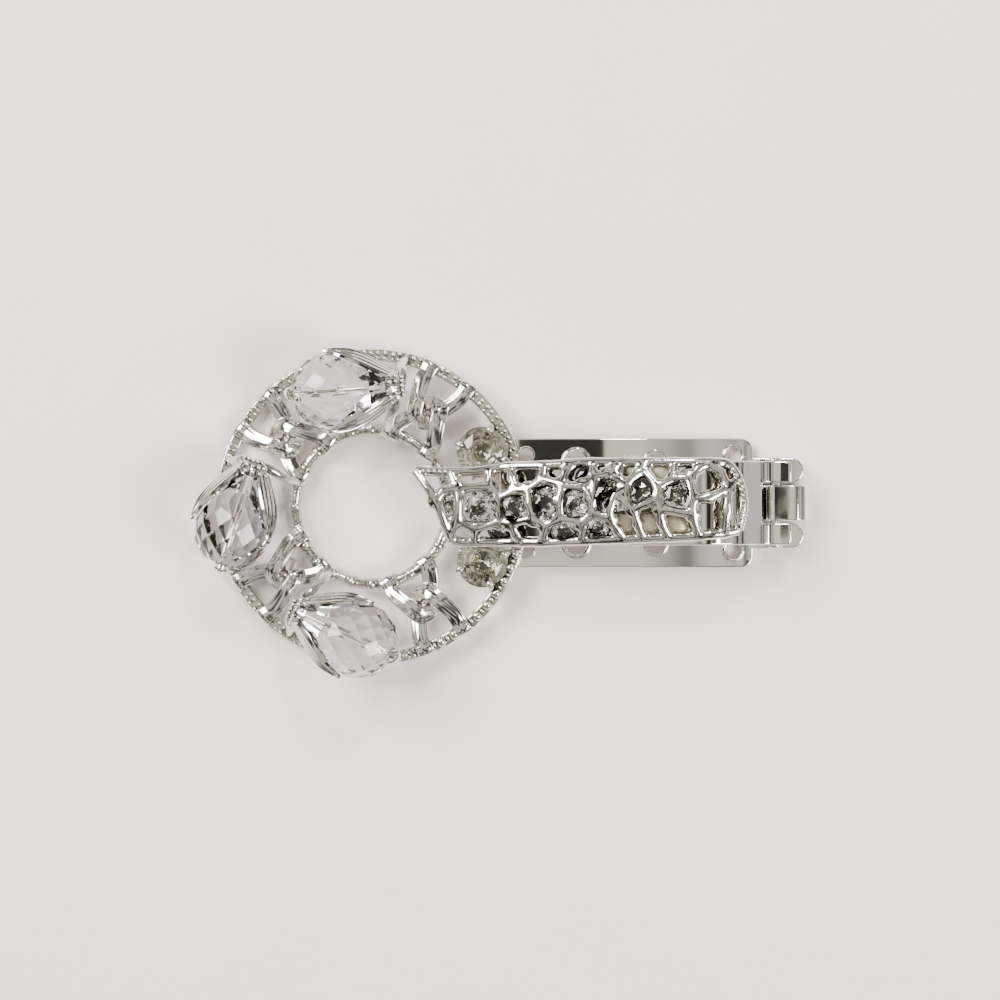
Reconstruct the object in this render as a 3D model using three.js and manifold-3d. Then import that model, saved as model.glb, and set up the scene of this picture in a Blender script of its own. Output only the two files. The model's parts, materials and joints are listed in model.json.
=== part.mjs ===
// Hair clip with a wreath of crystals. An arched base plate carries a sprung hinge at one end. The arm
// on that hinge is a bent strap under an openwork cover set with rhinestones, and its free end carries
// a wreath: two wire rings, tied by interlocked loops, with three briolette drops and two round stones.
//
// Millimetres, +Z up, +X from the wreath towards the hinge, +Y across the clip. Sizes are worked out from
// the middle of the strap's free end; at the end the clip is moved to stand on the middle of its box.

import * as THREE from 'three';
import { mergeVertices } from 'three/addons/utils/BufferGeometryUtils.js';
import Module from 'manifold-3d';

const wasm = await Module();
wasm.setup();

const GAP = 0.3; // running and solder gap between neighbours

// Base plate, stamped from one sheet
const SHEET = 0.9;
const PLATE_START = 0.8;
const PLATE_LENGTH = 31.4;
const PLATE_WIDTH = 16.4;
const PLATE_CORNER = 1.5;
const ARCH_CREST = 8; // distance of the arch's highest line from the strap's free end
const ARCH_RISE = 2;
const ARCH_REACH = 23.5; // from the crest down to the flat foot
const FINGER_END = 38.7;
const FINGER_OUTER = 5.75;
const FINGER_INNER = 2.55;
const HOLE_RIM_RISE = 0.25;
const SEWING_HOLES = [
  { x: 3.3, y: 6.1, radius: 0.82, rim: 1.15 },
  { x: 9.7, y: 5.2, radius: 1.3, rim: 1.95 },
  { x: 19.8, y: 5.2, radius: 1.25, rim: 1.65 },
  { x: 29.7, y: 6.1, radius: 0.95, rim: 1.4 },
];

// Hinge
const PIN = new THREE.Vector2(34.9, 2.9); // the pin's axis, in X and Z
const PIN_RADIUS = 0.6;
const PIN_PLAY = 0.08;
const PIN_HEAD_RADIUS = 1;
const PIN_HEAD_LENGTH = 0.4;
const TONGUE_WIDTH = 4.5;
const TONGUE_THICK = 0.8; // thinned by the bending
const TONGUE_BEND = 37.2; // where the tongue starts to fold back over itself
const CURL_RADIUS = PIN_RADIUS + 0.12 + TONGUE_THICK / 2;
const LUG_RADIUS = 1.2;
const LUG_THICK = 0.85;
const SPRING_WIRE = 0.18;
const SPRING_RADIUS = 0.98;
const SPRING_TURNS = 3;
const SPRING_PITCH = 0.42;
const SPRING_LEG = 2.8;

// Arm strap and the line that it and its cover follow, as X and Z of the strap's middle
const STRAP_WIDTH = 10.6;
const STRAP_END = 36.9;
const SLOT_START = 32.9;
const ARM_LINE = [
  [-11.1, 2.6],
  [-6, 4.4],
  [0, 6.1],
  [6, 8.1],
  [14, 9.4],
  [22, 9.6],
  [27, 9.1],
  [30, 7.8],
  [33.4, 4.9],
  [36.9, 4.9],
];

// Openwork cover
const COVER_HALF_WIDTH = 5;
const COVER_CROWN = 1.7; // rise of its middle over its edges
const COVER_THICK = 0.8;
const COVER_RIB = 0.8;
const COVER_RIM = 0.7;
const STONE_GAP = 0.08; // between a rhinestone and its cell
const COVER_OUTLINE = [
  [-11.1, 4.2],
  [-6.4, -4.7],
  [0, -5],
  [28.5, -4.8],
  [30.3, -3.2],
  [31, 0],
  [30, 3.5],
  [28.4, 5],
  [0, 4.9],
];
// Middle of each cell from the tip to the hinge, with 1 where a rhinestone sits in it
const COVER_CELLS = [
  [-8.4, 2, 0],
  [-6.9, -0.8, 1],
  [-3.7, 2.9, 0],
  [-4.3, -3.7, 0],
  [-2.7, -0.5, 1],
  [0.1, 2.9, 0],
  [-0.7, -3.9, 1],
  [2.4, -0.5, 1],
  [3.9, 3.1, 0],
  [3.8, -3.7, 0],
  [6.2, 0, 1],
  [7.3, 3.8, 0],
  [7.8, -3.3, 1],
  [9.9, -0.4, 1],
  [10.2, 3.6, 1],
  [12.4, -3.2, 1],
  [13.3, 0.8, 1],
  [16.3, 4.1, 0],
  [15.9, -2, 0],
  [17.9, 1.2, 1],
  [20.3, 3.9, 0],
  [19.3, -2.4, 0],
  [22.2, 0.8, 1],
  [24.5, 4.3, 1],
  [23.2, -2.8, 0],
  [26.2, 2.2, 0],
  [26.6, -1.6, 0],
  [29.1, 3.8, 0],
  [29.3, 0.2, 0],
];

// Wreath, in the plane of its rings
const WREATH_CENTRE = new THREE.Vector2(-16.3, -0.5);
const OUTER_RING = 19.3;
const INNER_RING = 9.8;
const RING_WIRE = 0.6;
const RING_BEAD = 0.05; // how far the beading stands out of the wire
const KNOT_ANGLES = [59, 141, 217.5, 299];
const LOOP_WIRE = 0.58;
const OUTER_LOOP_BEND = 12.6; // how far from the wreath's centre the outer loop's bend reaches
const INNER_LOOP_BEND = 15.2;
const LOOP_LEAN = 0.85; // rise of one leg over the middle, which lets the loops pass through each other
const ROUND_STONE_ANGLE = 26;
const ROUND_STONE_DISTANCE = 15.8;
const ROUND_STONE_RADIUS = 3.2;
const ROUND_STONE_GIRDLE = 1;

// Briolette drops: where the leaf cap sits on the wreath, and which way the drop points from it
const DROPS = [
  { angle: 77, distance: 15.6, heading: 184.2 },
  { angle: 161.2, distance: 15.4, heading: 252.2 },
  { angle: 236.8, distance: 15.8, heading: 335.2 },
];
const DROP_LENGTH = 12.6;
const DROP_RADIUS = 4.9;
const DROP_HEIGHT = 5.2; // of its axis over the plane of the rings
const DROP_BORE = 0.6;
const DROP_NECK = 1.1; // radius of its pointed end
const HEADPIN_RADIUS = 0.35;
const LEAF_LENGTH = 8.6;
const LEAF_SPREAD = 62; // degrees round the drop from its top line
const STEM_WIRE = 0.45;
const CLAW_WIRE = 0.26;

// ---------------------------------------------------------------- shared tools

const degrees = THREE.MathUtils.degToRad;
const polar = (radius, angle) => new THREE.Vector2(radius * Math.cos(angle), radius * Math.sin(angle));
const armHeights = new THREE.CubicInterpolant(
  new Float64Array(ARM_LINE.map(([x]) => x)),
  new Float64Array(ARM_LINE.map(([, z]) => z)),
  1,
);
const armHeight = (x) => armHeights.evaluate(x)[0];
const archHeight = (x) => Math.max(0, ARCH_RISE * (1 - ((x - ARCH_CREST) / ARCH_REACH) ** 2));

function toSolid(geometry) {
  const bare = geometry.clone();
  bare.deleteAttribute('normal');
  bare.deleteAttribute('uv');
  const merged = mergeVertices(bare, 1e-4);
  const vertProperties = new Float32Array(merged.attributes.position.array);
  const triVerts = new Uint32Array(merged.index.array);
  return new wasm.Manifold(new wasm.Mesh({ numProp: 3, vertProperties, triVerts }));
}

function toGeometry(solid) {
  const { vertProperties, triVerts } = solid.getMesh();
  const geometry = new THREE.BufferGeometry();
  geometry.setAttribute('position', new THREE.BufferAttribute(vertProperties, 3));
  geometry.setIndex(new THREE.BufferAttribute(triVerts, 1));
  return geometry;
}

const join = (geometries) => toGeometry(geometries.map(toSolid).reduce((whole, piece) => whole.add(piece)));
const cut = (geometry, tools) =>
  toGeometry(tools.map(toSolid).reduce((rest, tool) => rest.subtract(tool), toSolid(geometry)));
const common = (a, b) => toGeometry(toSolid(a).intersect(toSolid(b)));

const range = (count) => Array.from({ length: count }, (_, index) => index);

// Points along a line of X positions, at most `step` apart
function spaced(start, end, step) {
  const count = Math.ceil(Math.abs(end - start) / step);
  return range(count + 1).map((index) => start + ((end - start) * index) / count);
}

function arcPoints(centre, radius, from, to, steps) {
  return range(steps + 1).map((index) =>
    polar(radius, degrees(from + ((to - from) * index) / steps)).add(centre),
  );
}

// Outline of a bent sheet of even thickness around its middle line
function sheetOutline(line, thickness) {
  const side = (sign) =>
    line.map((point, index) => {
      const along = line[Math.min(index + 1, line.length - 1)].clone().sub(line[Math.max(index - 1, 0)]);
      const across = new THREE.Vector2(-along.y, along.x).setLength((sign * thickness) / 2);
      return across.add(point);
    });
  return new THREE.Shape([...side(1), ...side(-1).reverse()]);
}

// A side view in X and Z, made solid across the clip from one Y to another
function acrossClip(shape, fromY, toY) {
  const geometry = new THREE.ExtrudeGeometry(shape, {
    depth: toY - fromY,
    bevelEnabled: false,
    curveSegments: 6,
  });
  return geometry.rotateX(Math.PI / 2).translate(0, toY, 0);
}

// A plan view in X and Y, made solid between two heights
function upright(shape, low, high) {
  const geometry = new THREE.ExtrudeGeometry(shape, {
    depth: high - low,
    bevelEnabled: false,
    curveSegments: 4,
  });
  return geometry.translate(0, 0, low);
}

function disc(x, y, radius, low, high, sides) {
  const geometry = new THREE.CylinderGeometry(radius, radius, high - low, sides);
  return geometry.rotateX(Math.PI / 2).translate(x, y, (low + high) / 2);
}

function rodAcross(radius, fromY, toY, sides = 16) {
  const geometry = new THREE.CylinderGeometry(radius, radius, toY - fromY, sides);
  return geometry.translate(PIN.x, (fromY + toY) / 2, PIN.y);
}

function wireAlong(curve, radius, sides, steps) {
  const section = new THREE.Shape(range(sides).map((side) => polar(radius, (side * 2 * Math.PI) / sides)));
  return new THREE.ExtrudeGeometry(section, { extrudePath: curve, steps, bevelEnabled: false });
}

// Turned solid whose axis runs along +X
const turnedAlongX = (profile, sides) => new THREE.LatheGeometry(profile, sides).rotateZ(-Math.PI / 2);
// Turned solid whose axis runs along +Z
const turnedAlongZ = (profile, sides) => new THREE.LatheGeometry(profile, sides).rotateX(Math.PI / 2);
const profileOf = (pairs) => pairs.map(([radius, height]) => new THREE.Vector2(radius, height));

// ---------------------------------------------------------------- materials

const metal = (color, roughness) => new THREE.MeshStandardMaterial({ color, roughness, metalness: 1 });
const stone = (color) => new THREE.MeshStandardMaterial({ color, roughness: 0.02, metalness: 0 });
const makePolished = () => metal(0xd6d3ce, 0.08);
const makeCast = () => metal(0xc9c5bd, 0.2);
const makeSpringSteel = () => metal(0x9a9a9c, 0.3);
const makeCrystal = () => stone(0xe9e4ee);
const makeChampagne = () => stone(0xe6dfc4);
const makeRhinestone = () => stone(0xdcdad2);

function addPart(parent, name, geometry, material) {
  const mesh = new THREE.Mesh(geometry, material);
  mesh.name = name;
  parent.add(mesh);
  return mesh;
}

// ---------------------------------------------------------------- base and hinge

function plateOutline() {
  const half = PLATE_WIDTH / 2;
  const end = PLATE_START + PLATE_LENGTH;
  const inset = PLATE_CORNER;
  const shape = new THREE.Shape();
  shape.moveTo(PLATE_START + inset, -half);
  shape.lineTo(end - inset, -half);
  shape.absarc(end - inset, -half + inset, inset, degrees(-90), 0);
  shape.absarc(end - inset, half - inset, inset, 0, degrees(90));
  shape.absarc(PLATE_START + inset, half - inset, inset, degrees(90), degrees(180));
  shape.absarc(PLATE_START + inset, -half + inset, inset, degrees(180), degrees(270));
  return shape;
}

function fingerOutline(side) {
  const radius = (FINGER_OUTER - FINGER_INNER) / 2;
  const middle = (side * (FINGER_OUTER + FINGER_INNER)) / 2;
  const root = PLATE_START + PLATE_LENGTH - SHEET;
  const shape = new THREE.Shape();
  shape.moveTo(root, middle - radius);
  shape.absarc(FINGER_END - radius, middle, radius, degrees(-90), degrees(90));
  shape.lineTo(root, middle + radius);
  return shape;
}

function neckOutline() {
  const root = PLATE_START + PLATE_LENGTH - SHEET;
  const end = SLOT_START + GAP;
  return new THREE.Shape([
    new THREE.Vector2(root, -FINGER_OUTER),
    new THREE.Vector2(end, -FINGER_OUTER),
    new THREE.Vector2(end, FINGER_OUTER),
    new THREE.Vector2(root, FINGER_OUTER),
  ]);
}

// The tongue runs out from the neck, folds back over itself and curls round the pin
function tongueLine() {
  const top = PIN.y + CURL_RADIUS;
  const bendRadius = (top - SHEET / 2) / 2;
  const bendCentre = new THREE.Vector2(TONGUE_BEND, SHEET / 2 + bendRadius);
  return [
    new THREE.Vector2(PLATE_START + PLATE_LENGTH, SHEET / 2),
    ...arcPoints(bendCentre, bendRadius, -90, 90, 8),
    ...arcPoints(PIN, CURL_RADIUS, 90, 290, 12),
  ];
}

function makeBasePlate() {
  const lowLine = spaced(PLATE_START, FINGER_END, 2.4).map((x) => new THREE.Vector2(x, archHeight(x)));
  const highLine = lowLine.map((point) => new THREE.Vector2(point.x, point.y + SHEET));
  const sheet = acrossClip(new THREE.Shape([...lowLine, ...highLine.reverse()]), -PLATE_WIDTH, PLATE_WIDTH);
  const top = ARCH_RISE + 2 * SHEET;
  const outlines = [plateOutline(), neckOutline(), fingerOutline(1), fingerOutline(-1)];
  const plan = join(outlines.map((outline) => upright(outline, -SHEET, top)));
  const holes = SEWING_HOLES.flatMap((hole) => [hole, { ...hole, y: -hole.y }]);
  const rims = holes.map(({ x, y, rim }) => {
    const low = archHeight(x) + SHEET / 2;
    return disc(x, y, rim, low, low + SHEET / 2 + HOLE_RIM_RISE, 14);
  });
  const bores = holes.map(({ x, y, radius }) => disc(x, y, radius, -SHEET, top, 14));
  const tongue = acrossClip(sheetOutline(tongueLine(), TONGUE_THICK), -TONGUE_WIDTH / 2, TONGUE_WIDTH / 2);
  return cut(join([common(sheet, plan), ...rims, tongue]), bores);
}

function makeHingePin() {
  const shoulder = STRAP_WIDTH / 2 + 0.15;
  const end = shoulder + PIN_HEAD_LENGTH;
  const profile = profileOf([
    [0, -end],
    [PIN_HEAD_RADIUS * 0.8, -end],
    [PIN_HEAD_RADIUS, -end + PIN_HEAD_LENGTH / 3],
    [PIN_HEAD_RADIUS, -shoulder],
    [PIN_RADIUS, -shoulder],
    [PIN_RADIUS, shoulder],
    [PIN_HEAD_RADIUS, shoulder],
    [PIN_HEAD_RADIUS, end - PIN_HEAD_LENGTH / 3],
    [PIN_HEAD_RADIUS * 0.8, end],
    [0, end],
  ]);
  return new THREE.LatheGeometry(profile, 16).translate(PIN.x, 0, PIN.y);
}

// Wire that comes along the base, winds round the pin and leaves under the strap
class TorsionWire extends THREE.Curve {
  constructor(startY, side) {
    super();
    this.startY = startY;
    this.side = side;
    this.from = degrees(-90);
    this.to = degrees(80) + SPRING_TURNS * 2 * Math.PI;
    this.coilLength = (this.to - this.from) * SPRING_RADIUS;
    this.length = this.coilLength + 2 * SPRING_LEG;
  }

  coilPoint(angle) {
    const turned = (angle - this.from) / (2 * Math.PI);
    const flat = polar(SPRING_RADIUS, angle).add(PIN);
    return new THREE.Vector3(flat.x, this.startY + this.side * turned * SPRING_PITCH, flat.y);
  }

  getPoint(t, target = new THREE.Vector3()) {
    const run = t * this.length - SPRING_LEG;
    const angle = THREE.MathUtils.clamp(this.from + run / SPRING_RADIUS, this.from, this.to);
    const beyond = run - (angle - this.from) * SPRING_RADIUS;
    const heading = new THREE.Vector3(-Math.sin(angle), 0, Math.cos(angle));
    return target.copy(this.coilPoint(angle)).addScaledVector(heading, beyond);
  }
}

function makeTorsionSpring(side) {
  const startY = side * (TONGUE_WIDTH / 2 + GAP + SPRING_WIRE);
  return wireAlong(new TorsionWire(startY, side), SPRING_WIRE, 5, 50);
}

// ---------------------------------------------------------------- arm

function strapLine() {
  const bent = spaced(0, ARM_LINE.at(-2)[0], 1.5).map((x) => new THREE.Vector2(x, armHeight(x)));
  return [...bent, new THREE.Vector2(STRAP_END, ARM_LINE.at(-1)[1])];
}

function makeLug(side) {
  const outer = (side * STRAP_WIDTH) / 2;
  const inner = outer - side * LUG_THICK;
  const shape = new THREE.Shape();
  shape.moveTo(PIN.x + LUG_RADIUS, ARM_LINE.at(-1)[1]);
  shape.lineTo(PIN.x - LUG_RADIUS, ARM_LINE.at(-1)[1]);
  shape.absarc(PIN.x, PIN.y, LUG_RADIUS, degrees(180), degrees(360));
  return acrossClip(shape, Math.min(outer, inner), Math.max(outer, inner));
}

function makeStrap() {
  const half = STRAP_WIDTH / 2;
  const bent = acrossClip(sheetOutline(strapLine(), SHEET), -half, half);
  const slotLength = 2 * (STRAP_END - SLOT_START);
  const slot = new THREE.BoxGeometry(slotLength, TONGUE_WIDTH + 2 * GAP, 4 * SHEET);
  slot.translate(SLOT_START + slotLength / 2, 0, ARM_LINE.at(-1)[1]);
  const bore = rodAcross(PIN_RADIUS + PIN_PLAY, -STRAP_WIDTH, STRAP_WIDTH);
  return cut(join([bent, makeLug(1), makeLug(-1)]), [slot, bore]);
}

// Height of the cover's middle surface: clear of the strap at its edges, and crowned between them
function coverHeight(x, y) {
  const slope = (armHeight(x + 0.1) - armHeight(x - 0.1)) / 0.2;
  const clearance = (SHEET / 2 + COVER_THICK / 2 + GAP) * Math.hypot(1, slope);
  return armHeight(x) + clearance + COVER_CROWN * Math.max(0, 1 - (y / COVER_HALF_WIDTH) ** 2);
}

// The part of a convex polygon on one side of a line
function clip(polygon, point, normal) {
  const depth = (corner) => corner.clone().sub(point).dot(normal);
  return polygon.flatMap((corner, index) => {
    const next = polygon[(index + 1) % polygon.length];
    const here = depth(corner);
    const there = depth(next);
    const crossing = here * there < 0 ? [corner.clone().lerp(next, here / (here - there))] : [];
    return here <= 0 ? [corner, ...crossing] : crossing;
  });
}

// Cuts the corners of a polygon, which leaves it rounder
function soften(polygon) {
  return polygon.flatMap((corner, index) => {
    const next = polygon[(index + 1) % polygon.length];
    return [corner.clone().lerp(next, 0.28), corner.clone().lerp(next, 0.72)];
  });
}

// Drops corners that lie closer together than a tool could cut
function thin(polygon, least) {
  return polygon.filter((corner, index) => {
    const before = polygon[(index + polygon.length - 1) % polygon.length];
    return corner.distanceTo(before) > least;
  });
}

const coverCorners = COVER_OUTLINE.map(([x, y]) => new THREE.Vector2(x, y));
const cellMiddles = COVER_CELLS.map(([x, y]) => new THREE.Vector2(x, y));

// Open cell round one middle: nearer to it than to any other, less half a rib on each side
function coverCell(own) {
  let cell = coverCorners.map((corner) => corner.clone());
  coverCorners.forEach((corner, index) => {
    const next = coverCorners[(index + 1) % coverCorners.length];
    const outward = new THREE.Vector2(next.y - corner.y, corner.x - next.x).normalize();
    cell = clip(cell, corner.clone().addScaledVector(outward, -COVER_RIM), outward);
  });
  cellMiddles
    .filter((other) => other !== own)
    .forEach((other) => {
      const towards = other.clone().sub(own).normalize();
      const halfway = own.clone().lerp(other, 0.5);
      cell = clip(cell, halfway.addScaledVector(towards, -COVER_RIB / 2), towards);
    });
  return thin(soften(cell), 0.35);
}

const coverCells = cellMiddles.map(coverCell);

function makeCover() {
  const start = coverCorners[0].x - 1;
  const end = PLATE_START + PLATE_LENGTH;
  const sheet = new THREE.BoxGeometry(end - start, 2 * COVER_HALF_WIDTH, COVER_THICK, 20, 4, 1);
  sheet.translate((start + end) / 2, 0, 0);
  const position = sheet.attributes.position;
  for (let index = 0; index < position.count; index += 1) {
    const lift = coverHeight(position.getX(index), position.getY(index));
    position.setZ(index, position.getZ(index) + lift);
  }
  const tall = (polygon) => upright(new THREE.Shape(polygon), -SHEET, 20);
  return cut(common(sheet, tall(coverCorners)), coverCells.map(tall));
}

// Cut stone whose girdle lies at height 0
function makeRoundStone(radius, sides) {
  const profile = profileOf([
    [0, -0.84 * radius],
    [radius, -0.02 * radius],
    [radius, 0.02 * radius],
    [0.55 * radius, 0.31 * radius],
    [0, 0.31 * radius],
  ]);
  return turnedAlongZ(profile, sides);
}

// Middle of a cell, and the largest radius round it that stays inside the cell
function largestCircle(cell) {
  const centre = cell.reduce((sum, corner) => sum.add(corner), new THREE.Vector2()).divideScalar(cell.length);
  const reaches = cell.map((corner, index) => {
    const along = cell[(index + 1) % cell.length].clone().sub(corner);
    return Math.abs(along.cross(centre.clone().sub(corner))) / along.length();
  });
  return { centre, radius: Math.min(...reaches) };
}

function addRhinestones(parent) {
  const set = COVER_CELLS.flatMap(([, , jewelled], index) => (jewelled ? [coverCells[index]] : []));
  set.forEach((cell, index) => {
    const { centre, radius } = largestCircle(cell);
    const cutStone = makeRoundStone(radius - STONE_GAP, 8);
    const jewel = addPart(parent, `rhinestone_${index + 1}`, cutStone, makeRhinestone());
    jewel.position.set(centre.x, centre.y, coverHeight(centre.x, centre.y));
  });
}

// ---------------------------------------------------------------- wreath

function makeRing(radius, segments) {
  return new THREE.TorusGeometry(radius, RING_WIRE, 6, segments);
}

// One loop of a knot, with both feet on one ring and its bend towards the other
function makeKnotLoop(ring, bend, lean) {
  const inward = Math.sign(bend - ring);
  const footSpread = 2.8;
  const bendSpread = 2.15;
  const lift = 0.75;
  const foot = Math.sqrt(ring ** 2 - footSpread ** 2) + inward * (RING_WIRE + LOOP_WIRE + 0.1);
  const shoulder = bend - inward * bendSpread;
  const halfway = (foot + shoulder) / 2 - inward * 0.3;
  const leg = (side) => [
    new THREE.Vector3(foot, side * footSpread, 0.1),
    new THREE.Vector3(halfway, side * 2.5, lift + lean * side * 0.5),
    new THREE.Vector3(shoulder + inward * 0.6, side * bendSpread, lift + lean * side),
  ];
  const tip = new THREE.Vector3(bend, 0, lift);
  const curve = new THREE.CatmullRomCurve3([...leg(-1), tip, ...leg(1).reverse()]);
  return wireAlong(curve, LOOP_WIRE, 6, 18);
}

function addKnot(parent, angle, letter) {
  const knot = new THREE.Group();
  knot.rotation.z = degrees(angle);
  parent.add(knot);
  const outerLoop = makeKnotLoop(OUTER_RING, OUTER_LOOP_BEND, LOOP_LEAN);
  const innerLoop = makeKnotLoop(INNER_RING, INNER_LOOP_BEND, -LOOP_LEAN);
  addPart(knot, `knot_${letter}_outer_loop`, outerLoop, makePolished());
  addPart(knot, `knot_${letter}_inner_loop`, innerLoop, makePolished());
}

// Radius of a drop at a distance from its pointed end
function dropRadius(run) {
  const widest = 0.66 * DROP_LENGTH;
  if (run > widest) {
    const past = (run - widest) / (DROP_LENGTH - widest);
    return DROP_RADIUS * Math.sqrt(1 - (0.86 * past) ** 2);
  }
  return DROP_NECK + (DROP_RADIUS - DROP_NECK) * Math.sin(((run / widest) * Math.PI) / 2) ** 1.1;
}

function makeDrop() {
  const outside = spaced(0, DROP_LENGTH, 1.6).map((run) => [dropRadius(run), run]);
  const profile = [[DROP_BORE, 0], ...outside, [DROP_BORE, DROP_LENGTH], [DROP_BORE, 0]];
  return turnedAlongX(profileOf(profile), 8);
}

function makeHeadpin() {
  const end = DROP_LENGTH + 1.5;
  const profile = profileOf([
    [0, -0.6],
    [HEADPIN_RADIUS, -0.6],
    [HEADPIN_RADIUS, DROP_LENGTH + 0.2],
    [0.8, DROP_LENGTH + 0.2],
    [0.95, DROP_LENGTH + 0.7],
    [0.6, end - 0.2],
    [0, end],
  ]);
  return turnedAlongX(profile, 8);
}

// Leaf that lies along the side of a drop, `around` from its top line
function makeLeaf(around) {
  const geometry = new THREE.BoxGeometry(1, 1, 1, 6, 2, 1);
  const position = geometry.attributes.position;
  for (let index = 0; index < position.count; index += 1) {
    const along = position.getX(index) + 0.5;
    const halfWidth = 0.25 + 1.45 * Math.sin(Math.PI * along ** 0.75) ** 0.8;
    const run = -0.6 + along * LEAF_LENGTH;
    const radius = dropRadius(Math.max(run, 0)) + GAP + 0.5 * (position.getZ(index) + 0.5);
    const angle = degrees(around) + (2 * position.getY(index) * halfWidth) / radius;
    position.setXYZ(index, run, radius * Math.sin(angle), radius * Math.cos(angle));
  }
  return geometry;
}

// Cap on the drop's point, with two leaves and two stems that come down to the rings
function makeCalyx(drop, place) {
  const capProfile = profileOf([
    [0.55, -1.2],
    [1.1, -1.2],
    [1.85, -0.4],
    [2.35, 0.95],
    [2, 1],
    [1.4, -0.1],
    [0.55, -0.5],
    [0.55, -1.2],
  ]);
  const stems = [OUTER_RING, INNER_RING].map((ring) => {
    const toward = Math.sign(ring - drop.distance);
    const angle = degrees(drop.angle);
    const start = polar(drop.distance + toward * 0.9, angle);
    const middle = polar((drop.distance + 2 * ring) / 3, angle);
    const end = polar(ring, angle);
    const clear = RING_WIRE + 0.55;
    const points = [
      new THREE.Vector3(start.x, start.y, DROP_HEIGHT - 1.1),
      new THREE.Vector3(middle.x, middle.y, DROP_HEIGHT / 2 + 0.4),
      new THREE.Vector3(end.x, end.y, clear),
    ];
    const local = points.map((point) => point.applyMatrix4(place.clone().invert()));
    local[0].x -= 0.7;
    return wireAlong(new THREE.CatmullRomCurve3(local), STEM_WIRE, 6, 6);
  });
  return join([turnedAlongX(capProfile, 10), makeLeaf(LEAF_SPREAD), makeLeaf(-LEAF_SPREAD), ...stems]);
}

function addDrop(parent, drop, number) {
  const group = new THREE.Group();
  const foot = polar(drop.distance, degrees(drop.angle));
  group.position.set(foot.x, foot.y, DROP_HEIGHT);
  group.rotation.z = degrees(drop.heading);
  group.updateMatrix();
  parent.add(group);
  addPart(group, `crystal_drop_${number}`, makeDrop(), makeCrystal());
  addPart(group, `leaf_calyx_${number}`, makeCalyx(drop, group.matrix), makeCast());
  addPart(group, `headpin_${number}`, makeHeadpin(), makePolished());
}

// Ring-shaped cup with four claws over the stone's edge
function makeStoneSetting() {
  const cup = turnedAlongZ(
    profileOf([
      [1.25, -0.9],
      [1.65, -0.9],
      [2.6, -0.1],
      [2.2, -0.1],
      [1.25, -0.9],
    ]),
    12,
  );
  const claws = [45, 135, 225, 315].map((angle) => {
    const route = [
      [2.3, -0.35],
      [3, 0.4],
      [3.52, 1],
      [3.4, 1.45],
      [2.95, 1.6],
    ];
    const points = route.map(([radius, z]) => {
      const flat = polar(radius, degrees(angle));
      return new THREE.Vector3(flat.x, flat.y, z);
    });
    return wireAlong(new THREE.CatmullRomCurve3(points), CLAW_WIRE, 5, 5);
  });
  return join([cup, ...claws]);
}

function addRoundStone(parent, side, name) {
  const group = new THREE.Group();
  const angle = degrees(side * ROUND_STONE_ANGLE);
  const foot = polar(ROUND_STONE_DISTANCE, angle);
  group.position.set(foot.x, foot.y, 0);
  group.rotation.z = angle;
  parent.add(group);
  const cutStone = makeRoundStone(ROUND_STONE_RADIUS, 12);
  const jewel = addPart(group, `round_stone_${name}`, cutStone, makeChampagne());
  jewel.position.z = ROUND_STONE_GIRDLE;
  addPart(group, `stone_setting_${name}`, makeStoneSetting(), makeCast());
}

// Block between the strap's underside and the outer ring, hollowed to sit on the wire
function makeSaddle(tilt, lift) {
  const along = WREATH_CENTRE.x + OUTER_RING;
  const wireHeight = lift + OUTER_RING * Math.sin(tilt);
  const underside = armHeight(along - 1) - SHEET / 2 - GAP;
  const block = new THREE.BoxGeometry(2, 4, underside - wireHeight);
  block.translate(along, 0, (underside + wireHeight) / 2);
  const channel = new THREE.TorusGeometry(OUTER_RING, RING_WIRE + 0.25, 10, 72);
  channel.rotateY(-tilt).translate(WREATH_CENTRE.x, WREATH_CENTRE.y, lift);
  const below = new THREE.BoxGeometry(4, 6, 2);
  below.translate(along, 0, wireHeight - 0.9);
  return cut(block, [channel, below]);
}

// ---------------------------------------------------------------- assembly

const clip3d = new THREE.Group();
const body = new THREE.Group();
clip3d.add(body);

addPart(body, 'base_plate', makeBasePlate(), makePolished());
addPart(body, 'hinge_pin', makeHingePin(), makePolished());
addPart(body, 'torsion_spring_left', makeTorsionSpring(1), makeSpringSteel());
addPart(body, 'torsion_spring_right', makeTorsionSpring(-1), makeSpringSteel());
addPart(body, 'arm_strap', makeStrap(), makePolished());
addPart(body, 'openwork_cover', makeCover(), makeCast());
addRhinestones(body);

// The wreath lies on the table at its far side and passes over the plate's free end
const plateEnd = WREATH_CENTRE.x + OUTER_RING;
const lowest = RING_WIRE + RING_BEAD;
const overPlate = archHeight(plateEnd) + SHEET + GAP + lowest;
const wreathTilt = Math.asin((overPlate - lowest) / (2 * OUTER_RING));
const wreathLift = (overPlate + lowest) / 2;
addPart(body, 'wreath_saddle', makeSaddle(wreathTilt, wreathLift), makeCast());

const wreath = new THREE.Group();
wreath.position.set(WREATH_CENTRE.x, WREATH_CENTRE.y, wreathLift);
wreath.rotation.y = -wreathTilt;
body.add(wreath);
addPart(wreath, 'wreath_outer_ring', makeRing(OUTER_RING, 60), makeCast());
addPart(wreath, 'wreath_inner_ring', makeRing(INNER_RING, 36), makeCast());
KNOT_ANGLES.forEach((angle, index) => addKnot(wreath, angle, 'abcd'[index]));
DROPS.forEach((drop, index) => addDrop(wreath, drop, index + 1));
addRoundStone(wreath, 1, 'left');
addRoundStone(wreath, -1, 'right');

clip3d.updateMatrixWorld(true);
const box = new THREE.Box3().setFromObject(clip3d, true);
const middle = box.getCenter(new THREE.Vector3());
body.position.set(-middle.x, -middle.y, 0);

export default clip3d;
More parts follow.
